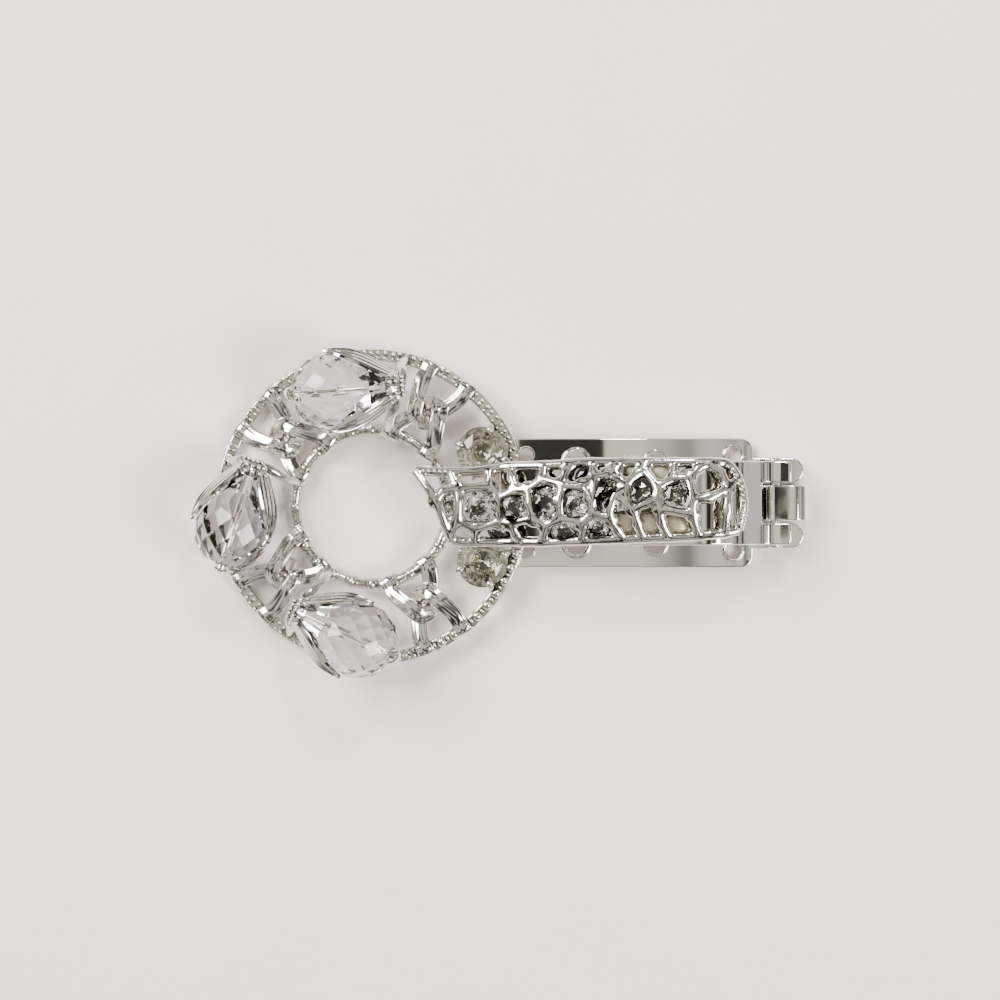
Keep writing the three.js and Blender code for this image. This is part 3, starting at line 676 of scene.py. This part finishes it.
def make_strap():
    sheet = bend(sheet_metal([strap_outline()], SHEET, STRAP_EDGE), strap_line, 0, STRAP_END)
    mesh = joined([sheet, make_lug(1), make_lug(-1)])
    put("arm_strap_looks", mesh, POLISHED, clip, "arm", "arm_strap", flat_sheet=True)


def cover_height(x, y):
    """Middle of the cast lace: over the strap, and domed across it."""
    lift = COVER_LIFT * math.hypot(1, slope_at(strap_line, x))
    return strap_line(x) + lift + COVER_DOME * max(0.0, 1 - (y / COVER_HALF) ** 2)


def lace_run(names, radius, swell):
    """Rib of the lace through named nodes, wider by the swell where it meets others."""
    nodes = [Vector((*LACE_NODES[name], 0)) for name in names.split()]
    per_span = 8
    points = curve_points(nodes, per_span)
    for point in points:
        point.z = cover_height(point.x, point.y)
    scales = []
    for index in range(len(points)):
        to_node = abs((index / per_span + 0.5) % 1 - 0.5) * 2
        size = radius * (1 + swell * (1 - to_node) ** 2)
        scales.append((size, 0.9 * radius))
    return sweep(points, circle(1, 12), scales=scales)


def make_cover():
    """The cast lace: round ribs run together into one skin, with beaded ends."""
    ribs = [lace_run(names, RIM_RADIUS, 0.1) for names in LACE_RIM]
    ribs += [lace_run(names, RIB_RADIUS, 0.4) for names in LACE_RIBS]
    for name, (x, y) in LACE_NODES.items():
        if name[0] in LACE_WEBS:
            ribs.append(ball(Vector((x, y, cover_height(x, y) - 0.05)), WEB_RADIUS, squash=0.42))
    holder = bpy.data.objects.new("casting", joined(ribs))
    bpy.context.scene.collection.objects.link(holder)
    remesh = holder.modifiers.new("remesh", "REMESH")
    remesh.mode = "VOXEL"
    remesh.voxel_size = LACE_VOXEL
    soften = holder.modifiers.new("soften", "SMOOTH")
    soften.iterations = 16
    soften.factor = 0.6
    cast = bpy.data.meshes.new_from_object(holder.evaluated_get(bpy.context.evaluated_depsgraph_get()))
    bpy.data.objects.remove(holder)
    grains = milgrain((-10.2, 4.1), (-6.4, 3.95)) + milgrain((28.6, 4.6), (29.9, -3.3), bow=1.2)
    put("openwork_cover_looks", joined([cast, *grains]), CAST, clip, "arm", "openwork_cover")


def make_cement():
    """Flat pads of cement on the strap, under some of the cells that hold no stone."""
    pads = []
    for x, y in CEMENT_CELLS:
        pad = ball(Vector(), PAD_RADIUS, squash=0.32, detail=3)
        floor = Matrix.Translation((x, y, strap_line(x) + SHEET / 2 + 0.1))
        pad.transform(floor @ Matrix.Rotation(-math.atan(slope_at(strap_line, x)), 4, "Y"))
        pads.append(pad)
    put("setting_cement", joined(pads), CEMENT, clip, "arm", None)


def milgrain(start, end, bow=0.0):
    """Small grains on the lace's rim between two places, to its left and right by turns, bowed outwards."""
    count = round(math.dist(start, end) / GRAIN_PITCH)
    grains = []
    for index in range(count + 1):
        t = index / count
        x = start[0] + (end[0] - start[0]) * t + bow * math.sin(math.pi * t)
        y = start[1] + (end[1] - start[1]) * t
        x += 0.2 * (index % 2 * 2 - 1)
        slope = slope_at(lambda place: cover_height(place, y), x, 0.2)
        lift = 0.42 / math.hypot(1, slope)
        centre = Vector((x - slope * lift, y, cover_height(x, y) + lift))
        grains.append(ball(centre, 0.25 + 0.07 * rng.random()))
    return grains


# ------------------------------------------------------------------ cut stones


def faceted(rings):
    """Cut stone: the hull of rings of (radius, height, corners, turn), turned by a share of one corner."""
    bm = bmesh.new()
    for radius, height, corners, turn in rings:
        for corner in range(corners):
            angle = TAU * (corner + turn) / corners
            bm.verts.new((radius * math.cos(angle), radius * math.sin(angle), height))
    hull = bmesh.ops.convex_hull(bm, input=bm.verts)
    bmesh.ops.delete(bm, geom=hull["geom_unused"] + hull["geom_interior"], context="VERTS")
    bmesh.ops.dissolve_limit(bm, angle_limit=math.radians(1.5), verts=bm.verts, edges=bm.edges)
    return from_bmesh(bm)


def brilliant(radius, sides=8):
    """Round brilliant with its girdle at height 0."""
    return faceted(
        [
            (0.53 * radius, 0.31 * radius, sides, 0),
            (0.79 * radius, 0.205 * radius, sides, 0.5),
            (radius, 0.02 * radius, 2 * sides, 0),
            (radius, -0.03 * radius, 2 * sides, 0),
            (0.42 * radius, -0.56 * radius, sides, 0.5),
            (0, -0.84 * radius, 1, 0),
        ]
    )


def pavilion_foil(radius, sides=8):
    """Cone of foil just under a stone's pavilion."""
    bm = bmesh.new()
    count = 2 * sides
    girdle = [bm.verts.new((x, y, -0.05 * radius)) for x, y in circle(radius, count)]
    waist = [bm.verts.new((x, y, -0.60 * radius)) for x, y in circle(0.43 * radius, count)]
    point = bm.verts.new((0, 0, -0.88 * radius))
    for side in range(count):
        other = (side + 1) % count
        bm.faces.new((girdle[side], girdle[other], waist[other], waist[side]))
        bm.faces.new((waist[side], waist[other], point))
    return from_bmesh(bm)


def set_rhinestone(node, turn, tilt):
    """A brilliant and its foil in place of one CAD stone, wide enough for the lace to lap over its edge."""
    low, high = (Vector(corner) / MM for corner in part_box(node))
    radius = (high.x - low.x) / 2 * STONE_GROWTH
    height = high.z - 0.31 * radius - STONE_SINK
    middle = Vector(((low.x + high.x) / 2, (low.y + high.y) / 2, height))
    matrix = Matrix.Translation(middle) @ tilt @ Matrix.Rotation(turn, 4, "Z")
    glass, backing, slot = brilliant(radius), pavilion_foil(radius), "rhinestone"
    put(node + "_cut", glass, RHINESTONE, matrix, "arm", node, smooth=False)
    put(node + "_foil", backing, RHINESTONE_FOIL, matrix, "arm", None, smooth=False)


def make_rhinestones():
    most_tilt = math.radians(6)
    for node in sorted(name for name in frame["nodes"] if name.startswith("rhinestone")):
        tilt = Matrix.Rotation(rng.uniform(-most_tilt, most_tilt), 4, "X")
        tilt = tilt @ Matrix.Rotation(rng.uniform(-most_tilt, most_tilt), 4, "Y")
        set_rhinestone(node, rng.uniform(0, TAU), tilt)


# ------------------------------------------------------------------ wreath


def on_ring(radius, angle, height=0.0):
    return Vector((radius * math.cos(angle), radius * math.sin(angle), height))


def make_outer_ring():
    """A rounded band whose top carries pairs of small grains, and a row of balls and beads on one stretch."""
    count = 240
    band = [on_ring(OUTER_RING, TAU * k / count) for k in range(count)]
    parts = [sweep(band, flat_section(1.55, 1.0, 0.28), closed=True)]
    pairs = 132
    for index in range(pairs):
        angle = 360 * (index + rng.uniform(-0.2, 0.2)) / pairs
        if BALL_ROW[0] < angle < BALL_ROW[1]:
            continue
        for side in (-1, 1):
            radius = OUTER_RING + side * rng.uniform(0.24, 0.48)
            parts.append(ball(on_ring(radius, math.radians(angle), 0.42), rng.uniform(0.26, 0.38)))
    balls = 2 * round((BALL_ROW[1] - BALL_ROW[0]) / 5.6)
    for index in range(balls + 1):
        angle = math.radians(BALL_ROW[0] + (BALL_ROW[1] - BALL_ROW[0]) * index / balls)
        size, height = (0.3, 0.6) if index % 2 else (0.7, 0.42)
        parts.append(ball(on_ring(OUTER_RING, angle, height), size, detail=3))
    put("wreath_outer_ring_looks", joined(parts), BEADED, wreath, "arm", "wreath_outer_ring")


def make_inner_ring():
    """Balls with collars, joined by waisted bars, on a slim backing band."""
    balls, per_ball = 24, 24
    count = balls * per_ball
    wire, scales = [], []
    for index in range(count):
        phase = (index % per_ball) / per_ball
        wire.append(on_ring(INNER_RING, TAU * index / count))
        from_ball = min(phase, 1 - phase) * 2
        bead = math.sqrt(max(0.0, 1 - (from_ball / 0.52) ** 2))
        collar = math.exp(-(((from_ball - 0.6) / 0.07) ** 2))
        size = max(0.64 + 0.05 * from_ball, 0.86 * bead, 0.6 + 0.2 * collar)
        scales.append((size, size))
    band = [on_ring(INNER_RING, TAU * k / 120, -0.12) for k in range(120)]
    parts = [sweep(wire, circle(1, 16), closed=True, scales=scales)]
    parts.append(sweep(band, flat_section(1.45, 0.7, 0.2), closed=True))
    for index in range(96):
        angle = TAU * (index + rng.uniform(-0.3, 0.3)) / 96
        parts.append(ball(on_ring(INNER_RING + rng.uniform(-0.3, 0.3), angle, 0.3), rng.uniform(0.16, 0.26)))
    put("wreath_inner_ring_looks", joined(parts), BEADED, wreath, "arm", "wreath_inner_ring")


def knot_loop(ring, tip, lean, shift):
    """One ribbon loop of a knot: both feet wrap a ring, and the bend reaches out to the tip's radius.

    The lean lifts one leg over the other, and the shift moves the bend sideways.
    """
    inward = math.copysign(1, tip - ring)
    foot_spread, bend_spread, lift = 2.75, 1.6, 0.8
    foot = math.sqrt(ring**2 - foot_spread**2)
    shoulder = tip - inward * bend_spread * 1.3

    def leg(side):
        return [
            (foot - inward * 0.62, side * foot_spread, -0.1),
            (foot - inward * 0.3, side * foot_spread, 0.56),
            (foot + inward * 0.8, side * (foot_spread - 0.05), 0.7),
            ((foot + shoulder) / 2, side * 2.45 + shift * 0.5, lift + lean * side * 0.4),
            (shoulder, side * bend_spread + shift, lift + lean * side),
            (tip - inward * 0.45, side * bend_spread * 0.62 + shift, lift + lean * side * 0.7),
        ]

    points = curve_points(leg(-1) + [(tip, shift, lift)] + leg(1)[::-1])
    count = len(points) - 1

    def bank(index, point):
        """The ribbon leans outwards round its bend, so that it seems to twist."""
        along = index / count
        bend = math.exp(-(((along - 0.5) / 0.16) ** 2))
        middle = Vector((tip - inward * 2.4, shift, lift))
        outward = Vector((point.x - middle.x, point.y - middle.y, 0)).normalized()
        return UP + outward * 0.4 * bend

    scales = []
    for index in range(count + 1):
        end = min(index, count - index) / count
        flare = 1 + 0.35 * math.exp(-((end / 0.07) ** 2))
        scales.append((flare, 1 - 0.2 * math.exp(-((end / 0.05) ** 2))))
    return sweep(points, flat_section(RIBBON_WIDTH, RIBBON_THICK, 0.22, 0.18), up=bank, scales=scales)


def make_knots():
    kinds = (("outer", OUTER_RING, OUTER_BEND, 1), ("inner", INNER_RING, INNER_BEND, -1))
    for letter, angle in zip("abcd", KNOT_ANGLES):
        matrix = wreath @ Matrix.Rotation(math.radians(angle), 4, "Z")
        for kind, ring, tip, side in kinds:
            node = f"knot_{letter}_{kind}_loop"
            mesh = knot_loop(ring, tip, side * LOOP_RISE, side * LOOP_SHIFT)
            put(node + "_looks", mesh, RIBBON, matrix, "arm", node)


def drop_radius(run):
    """Radius of a drop at a distance from its pointed end."""
    widest = 0.66 * DROP_LENGTH
    if run > widest:
        return DROP_RADIUS * math.sqrt(1 - (0.86 * (run - widest) / (DROP_LENGTH - widest)) ** 2)
    return DROP_NECK + (DROP_RADIUS - DROP_NECK) * math.sin(run / widest * math.pi / 2) ** 1.1


def crystal_drop():
    """Briolette along +Z: long kites from the point, rows of diamonds round the belly, a flat at the end."""
    sides = 12
    runs = (0, 4.8, 6.6, 8.2, 9.6, 10.8, 11.8, DROP_LENGTH)
    rings = [(drop_radius(run), run, sides, 0.5 * (index % 2)) for index, run in enumerate(runs)]
    return faceted(rings)


def leaf(around, length, width):
    """Leaf along the side of a drop, with ridges from end to end and a tip that curls away."""
    bm = bmesh.new()
    along_steps, across_steps = 40, 32
    grid = []
    for i in range(along_steps + 1):
        along = i / along_steps
        half_width = 0.12 + width / 2 * math.sin(math.pi * along**0.75) ** 0.8
        run = -0.6 + along * length
        ridge_height = 0.13 * (0.35 + 0.65 * math.sin(math.pi * along))
        tip_lift = 3.168 * max(0.0, along - 0.8) ** 1.5
        tip_return = 1.5 * max(0.0, along - 0.86)
        row = []
        for j in range(across_steps + 1):
            side = 2 * j / across_steps - 1
            ridges = ridge_height * (1 + math.cos(LEAF_RIDGES * math.pi * side))
            radius = drop_radius(max(run, 0)) + 0.4 + ridges + tip_lift + 0.25 * side * side
            angle = math.radians(around) + side * half_width / radius
            row.append(bm.verts.new((radius * math.sin(angle), radius * math.cos(angle), run - tip_return)))
        grid.append(row)
    for i in range(along_steps):
        for j in range(across_steps):
            bm.faces.new((grid[i][j], grid[i + 1][j], grid[i + 1][j + 1], grid[i][j + 1]))
    bmesh.ops.recalc_face_normals(bm, faces=bm.faces)
    bmesh.ops.solidify(bm, geom=bm.faces[:], thickness=0.3)
    return from_bmesh(bm)


def cap_grains():
    """Three rows of grains over the top of a calyx's cap."""
    grains = []
    for row in range(3):
        for column in range(-2, 3):
            angle = column * 0.42 + 0.1 * row
            radius = 1.35 + 0.42 * row + 0.12
            centre = Vector((radius * math.sin(angle), radius * math.cos(angle), -1.0 + 0.72 * row))
            grains.append(ball(centre, 0.27 + 0.04 * rng.random()))
    return grains


def stem(drop, ring, to_drop):
    """Ribbon from a calyx's cap down to one ring."""
    distance, angle = drop["distance"], math.radians(drop["angle"])
    toward = math.copysign(1, ring - distance)
    route = [
        on_ring(distance + toward * 0.6, angle - 0.04, DROP_HEIGHT - 0.7),
        on_ring((2 * distance + ring) / 3 + toward * 0.5, angle - 0.03, DROP_HEIGHT - 1.2),
        on_ring((distance + 2 * ring) / 3 + toward * 0.2, angle, DROP_HEIGHT / 2 + 0.3),
        on_ring(ring, angle, 0.5),
    ]
    path = [to_drop @ point for point in curve_points(route)]
    return sweep(path, flat_section(1.15, 0.6, 0.25, 0.1), up=to_drop.to_3x3() @ UP)


def calyx(drop, place):
    """Cap, leaves, grains and the ribbon stems that come down to the rings; the drop's axis is +Z."""
    cap = [(0, -1.25), (0.6, -1.25), (1.1, -1.1), (1.6, -0.7), (1.95, -0.1), (2.3, 0.75), (2.36, 0.98)]
    cap += [(2.2, 1.06), (2.0, 0.95), (1.5, 0.0), (0.5, -0.4), (0, -0.4)]
    parts = [turned(cap, 24), leaf(60, 9.2, 3.1), leaf(-60, 9.2, 3.1), leaf(180, 4.2, 2.2)]
    parts += cap_grains()
    parts += [stem(drop, ring, place.inverted()) for ring in (OUTER_RING, INNER_RING)]
    return joined(parts)


def make_drops():
    # Turns a drop's own +Z to +X, with its +Y sideways
    lay_down = Matrix.Rotation(math.pi / 2, 4, "Y") @ Matrix.Rotation(math.pi / 2, 4, "Z")
    for number, drop in enumerate(DROPS, 1):
        foot = on_ring(drop["distance"], math.radians(drop["angle"]), DROP_HEIGHT)
        turn = Matrix.Rotation(math.radians(drop["heading"]), 4, "Z") @ lay_down
        place = Matrix.Translation(foot) @ turn
        matrix = wreath @ place
        glass, leaves = f"crystal_drop_{number}", f"leaf_calyx_{number}"
        put(glass + "_cut", crystal_drop(), CRYSTAL, matrix, "arm", glass, smooth=False)
        put(leaves + "_looks", calyx(drop, place), LEAF, matrix, "arm", leaves)
        make_headpin(f"headpin_{number}", matrix)


def make_headpin(node, matrix):
    """Pin through a drop that ends in a bead with a waist."""
    bead = [(0.3, 0.05), (0.95, 0.1), (1.0, 0.3), (0.7, 0.5), (0.62, 0.6), (0.85, 0.8), (0.92, 1.05)]
    bead += [(0.7, 1.35), (0.35, 1.48), (0, 1.5)]
    profile = [(0, -0.6), (0.3, -0.6)] + [(radius, DROP_LENGTH + height) for radius, height in bead]
    put(node + "_looks", turned(profile, 24), POLISHED, matrix, "arm", node)


def stone_setting():
    """Open cup with four claws that end in small balls over the stone's edge."""
    rim = [(1.25, -0.9), (1.45, -0.98), (1.7, -0.88), (2.55, -0.18), (2.62, -0.05), (2.45, 0.02)]
    rim += [(2.2, -0.08), (1.25, -0.9)]
    parts = [turned(rim, 32)]
    for angle in (45, 135, 225, 315):
        route = [(2.2, -0.45), (2.95, 0.35), (3.45, 0.95), (3.42, 1.35), (3.05, 1.62)]
        points = curve_points([on_ring(r, math.radians(angle), z) for r, z in route], 6)
        parts.append(sweep(points, circle(0.36, 12), round_ends=True))
        parts.append(ball(on_ring(2.98, math.radians(angle), 1.62), 0.52, 0.8))
    return joined(parts)


def make_round_stones():
    for side, name in ((1, "left"), (-1, "right")):
        angle = math.radians(side * ROUND_STONE_ANGLE)
        foot = Matrix.Translation(on_ring(ROUND_STONE_DISTANCE, angle))
        matrix = wreath @ foot @ Matrix.Rotation(angle, 4, "Z")
        girdle = matrix @ Matrix.Translation((0, 0, ROUND_STONE_GIRDLE))
        stone, setting, slot = f"round_stone_{name}", f"stone_setting_{name}", "champagne_stone"
        glass, backing = brilliant(ROUND_STONE_RADIUS, 10), pavilion_foil(ROUND_STONE_RADIUS, 10)
        put(stone + "_cut", glass, CHAMPAGNE, girdle, "arm", stone, smooth=False)
        put(stone + "_foil", backing, CHAMPAGNE_FOIL, girdle, "arm", None, smooth=False)
        put(setting + "_looks", stone_setting(), CAST, matrix, "arm", setting)


# ------------------------------------------------------------------ stage


def area_light(name, place, target, size, power, colour=(1, 1, 1)):
    data = bpy.data.lights.new(name, "AREA")
    data.shape = "RECTANGLE"
    data.size, data.size_y = size
    data.energy = power
    data.color = colour
    lamp = bpy.data.objects.new(name, data)
    lamp.location = place
    lamp.rotation_euler = (Vector(target) - Vector(place)).to_track_quat("-Z", "Y").to_euler()
    bpy.context.scene.collection.objects.link(lamp)


def plane(name, size, place, material):
    bm = bmesh.new()
    bmesh.ops.create_grid(bm, x_segments=1, y_segments=1, size=0.5)
    matrix = Matrix.Translation(place) @ Matrix.Diagonal((*size, 1, 1))
    bmesh.ops.transform(bm, matrix=matrix, verts=bm.verts)
    mesh = from_bmesh(bm)
    mesh.materials.append(material)
    item = bpy.data.objects.new(name, mesh)
    bpy.context.scene.collection.objects.link(item)
    return item


def make_stage():
    """Floor, and a black card over the clip that its mirrors pick up."""
    plane("floor", (3, 3), (0, 0, -0.00005), paper())
    dark = Shader("dark_card", Roughness=0.9)
    dark.drive("Base Color", dark.mix(dark.noise(4), (0.004, 0.004, 0.004), (0.012, 0.012, 0.012)))
    card = plane("overhead_card", (0.12, 0.07), (0.014, 0.027, CAMERA_DISTANCE + 0.02), dark.material)
    card.visible_camera = False
    card.visible_shadow = False
    card.visible_diffuse = False


def make_world():
    """Room of light and dark patches, pale near the floor and beige straight overhead."""
    world = bpy.data.worlds.new("studio")
    bpy.context.scene.world = world
    world.use_nodes = True
    nodes, links = world.node_tree.nodes, world.node_tree.links
    where = nodes.new("ShaderNodeTexCoord").outputs["Generated"]
    split = nodes.new("ShaderNodeSeparateXYZ")
    links.new(where, split.inputs["Vector"])

    def overlaid(base, colour, start, end):
        """A colour over the base, from none at one height of the view direction to full at another."""
        share = nodes.new("ShaderNodeMapRange")
        share.inputs["From Min"].default_value = start
        share.inputs["From Max"].default_value = end
        links.new(split.outputs["Z"], share.inputs["Value"])
        blend = nodes.new("ShaderNodeMix")
        blend.data_type = "RGBA"
        blend.inputs["B"].default_value = (*colour, 1)
        links.new(share.outputs["Result"], blend.inputs["Factor"])
        links.new(base, blend.inputs["A"])
        return blend.outputs["Result"]

    patches = nodes.new("ShaderNodeTexNoise")
    patches.inputs["Scale"].default_value = 4.2
    patches.inputs["Detail"].default_value = 1.5
    links.new(where, patches.inputs["Vector"])
    ramp = nodes.new("ShaderNodeValToRGB")
    dark, light = ramp.color_ramp.elements
    dark.position = 0.46
    dark.color = (0.03, 0.027, 0.022, 1)
    light.position = 0.56
    light.color = (0.92, 0.88, 0.81, 1)
    links.new(patches.outputs["Fac"], ramp.inputs["Fac"])
    low_pale = overlaid(ramp.outputs["Color"], (0.80, 0.735, 0.715), 0.26, 0.16)
    whole = overlaid(low_pale, (0.97, 0.915, 0.80), 0.962, 0.985)
    links.new(whole, nodes["Background"].inputs["Color"])


def make_lights():
    warm = (1, 0.985, 0.96)
    middle = (0, 0, 0)
    area_light("soft_left", (-0.5, 0.3, 0.6), middle, (0.42, 0.42), 13.0, warm)
    area_light("soft_right", (0.55, -0.2, 0.6), middle, (0.34, 0.34), 9.0, warm)
    area_light("sparkle", (0.1, 0.5, 0.5), middle, (0.06, 0.06), 2.0)


def make_camera():
    data = bpy.data.cameras.new("camera")
    data.sensor_width = 36
    data.lens = 36 * CAMERA_DISTANCE / VIEW_WIDTH
    data.clip_start = 0.01
    camera = bpy.data.objects.new("camera", data)
    camera.location = origin + Vector((0, CAMERA_SIDESTEP, CAMERA_DISTANCE))
    bpy.context.scene.collection.objects.link(camera)
    bpy.context.scene.camera = camera


make_camera()
make_stage()
make_world()
make_lights()
make_base()
make_pin()
make_strap()
make_cover()
make_cement()
make_rhinestones()
make_outer_ring()
make_inner_ring()
make_knots()
make_drops()
make_round_stones()
dress_frame_node("torsion_spring_left", SPRING)
dress_frame_node("torsion_spring_right", SPRING)
dress_frame_node("wreath_saddle", CAST, 0.2)
